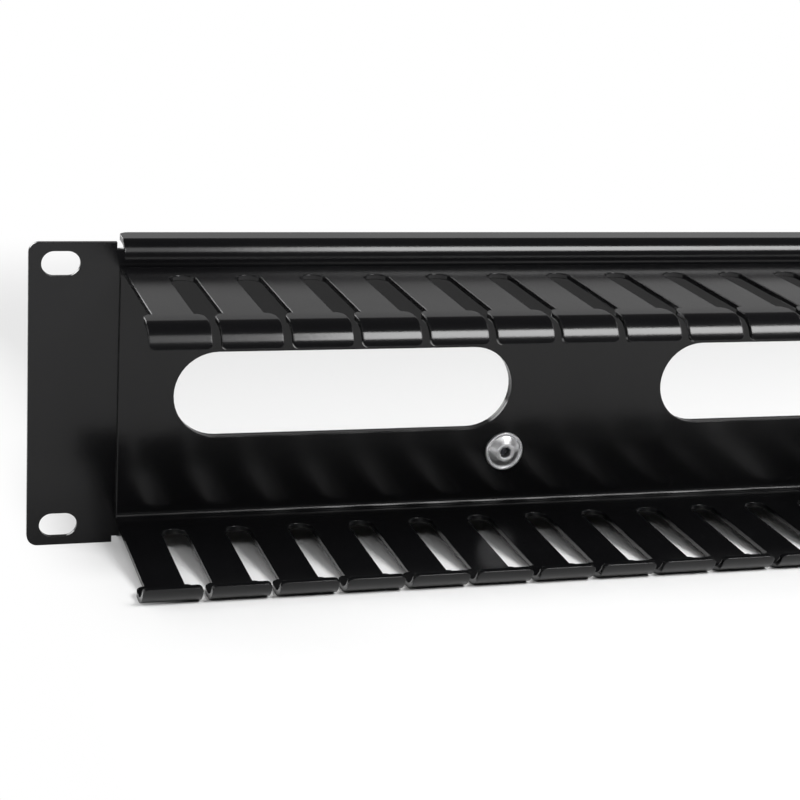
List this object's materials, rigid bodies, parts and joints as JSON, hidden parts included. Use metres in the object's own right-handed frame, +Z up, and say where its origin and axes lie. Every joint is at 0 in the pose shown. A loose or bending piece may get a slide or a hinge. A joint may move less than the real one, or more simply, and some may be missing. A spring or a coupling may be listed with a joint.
{
  "type": "horizontal cable manager",
  "caption": "Rack-mount horizontal cable manager: a black folded steel panel with rack ears and an open slotted finger duct riveted to its front",
  "frame": {"origin": "middle of the front face of the rack panel, at the centre of the four rack mounting slots", "axes": "X along the panel's width, Y from the front of the rack to its back, Z up"},
  "size_m": [0.4826, 0.0788, 0.0882],
  "materials": {
    "black_powder_coat": "semi-gloss black powder coat with a fine orange peel",
    "rivet_aluminium": "bare drawn aluminium, lightly worn",
    "mandrel_steel": "broken steel mandrel, dull grey"
  },
  "bodies": {
    "root": {"rack_panel": "black_powder_coat", "finger_duct": "black_powder_coat", "rivet_lower_left": "rivet_aluminium", "mandrel_lower_left": "mandrel_steel", "rivet_lower_right": "rivet_aluminium", "mandrel_lower_right": "mandrel_steel", "rivet_upper_left": "rivet_aluminium", "mandrel_upper_left": "mandrel_steel", "rivet_upper_right": "rivet_aluminium", "mandrel_upper_right": "mandrel_steel"}
  },
  "joints": []
}
